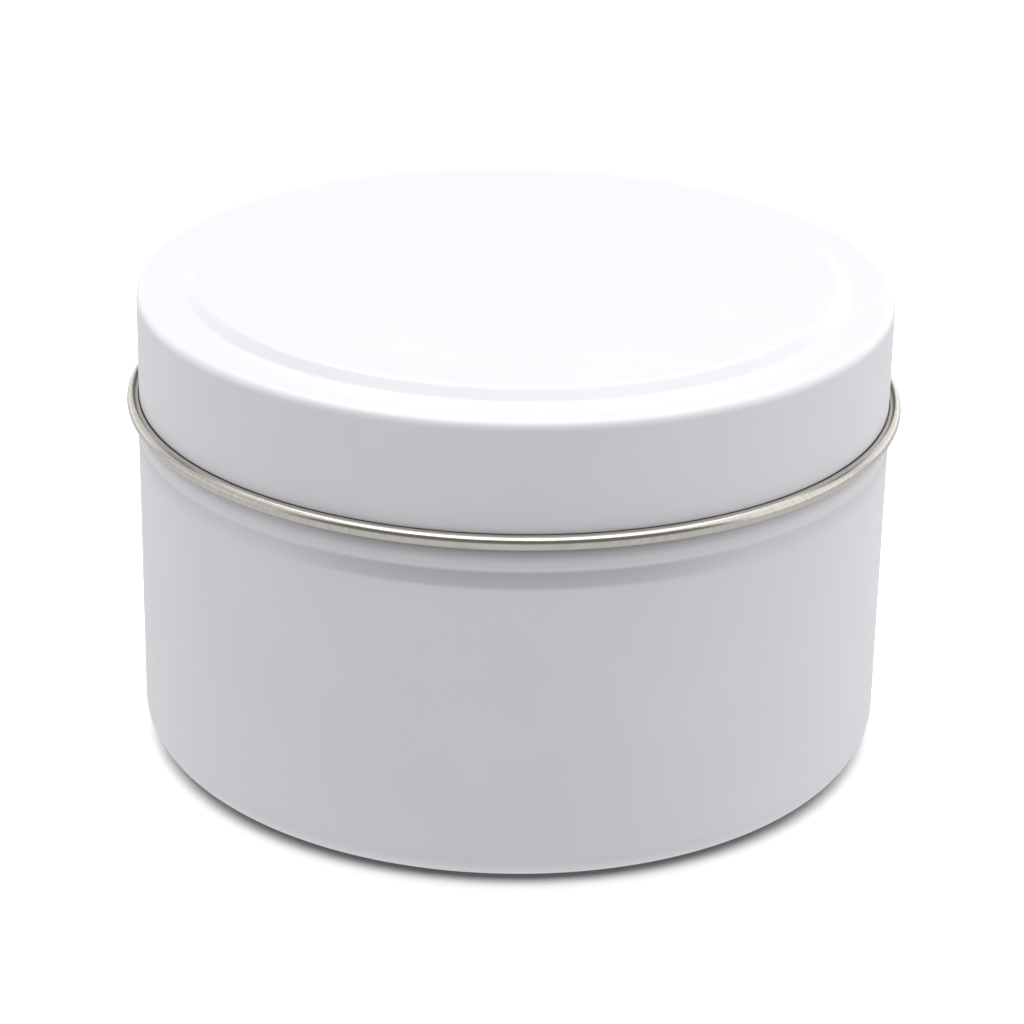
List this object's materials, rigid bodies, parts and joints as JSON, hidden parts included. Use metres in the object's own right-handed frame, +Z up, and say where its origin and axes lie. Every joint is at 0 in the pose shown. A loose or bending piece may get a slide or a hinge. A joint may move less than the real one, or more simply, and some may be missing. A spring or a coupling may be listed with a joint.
{
  "type": "candle tin",
  "caption": "Round shallow seamless tin with a slip-over lid, for pouring and storing container candles, salves or small goods.",
  "frame": {"origin": "centre of the tin's foot, on the surface that it stands on", "axes": "+Z up along the tin's own axis, towards the lid; X and Y are alike, as the tin is round"},
  "size_m": [0.08, 0.08, 0.05],
  "materials": {
    "body_enamel": "white enamel outside, semi-gloss; bare bright tinplate inside and on the rolled rim",
    "lid_enamel": "white enamel outside, semi-gloss; bare bright tinplate inside and on the rolled bead"
  },
  "bodies": {
    "tin": {"tin_body": "body_enamel"},
    "lid": {"lid": "lid_enamel"}
  },
  "joints": [
    {"name": "lid_lift", "type": "slide", "parent": "tin", "child": "lid", "axis": [0, 0, 1], "range_m": [0, 0.06]}
  ]
}
